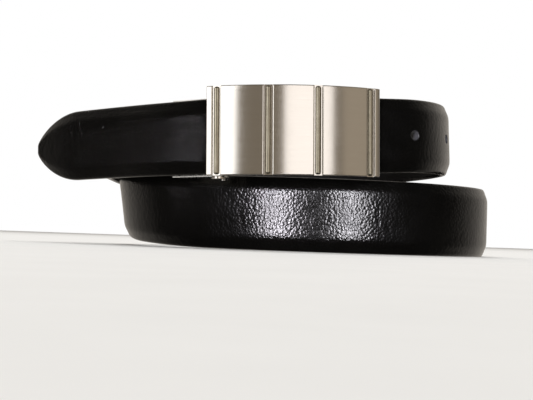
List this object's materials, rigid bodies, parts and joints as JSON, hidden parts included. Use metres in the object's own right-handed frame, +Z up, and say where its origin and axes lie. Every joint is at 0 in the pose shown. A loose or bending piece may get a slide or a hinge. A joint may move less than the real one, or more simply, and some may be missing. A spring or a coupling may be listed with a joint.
{
  "type": "dress belt",
  "caption": "Black leather dress belt with a curved plaque buckle and a clamped end, buckled and coiled in two turns standing on edge.",
  "frame": {"origin": "middle of the coil's footprint, at ground level", "axes": "+X along the buckle to its free end, which is also the coil's longest way; +Y from the buckle into the coil; +Z up, across the strap"},
  "size_m": [0.2036, 0.135, 0.0659],
  "materials": {
    "strap_leather": "fine pebbled grain, polished",
    "strap_filler": "raw bonded leather",
    "lining_leather": "smooth matt",
    "buckle_metal": "satin, brushed along its length",
    "rib_metal": "polished",
    "fitting_metal": "plated"
  },
  "bodies": {
    "strap": {"strap_face": "strap_leather", "strap_core": "strap_filler", "strap_lining": "lining_leather", "clamp_body": "fitting_metal", "flap_pin": "fitting_metal"},
    "buckle": {"face_plate": "buckle_metal", "rib_1": "rib_metal", "rib_2": "rib_metal", "rib_3": "rib_metal", "rib_4": "rib_metal", "prong": "fitting_metal", "hinge_pin": "fitting_metal"},
    "flap": {"clamp_flap": "fitting_metal"}
  },
  "joints": [
    {"name": "buckle_hinge", "type": "hinge", "parent": "strap", "child": "buckle", "pos_m": [-0.01581, -0.05442, 0.04648], "axis": [0.0297, 0, -0.9996], "range_deg": [0, 12]},
    {"name": "flap_hinge", "type": "hinge", "parent": "strap", "child": "flap", "pos_m": [-0.01784, -0.04713, 0.04642], "axis": [0.0297, 0, -0.9996], "range_deg": [0, 90]}
  ]
}
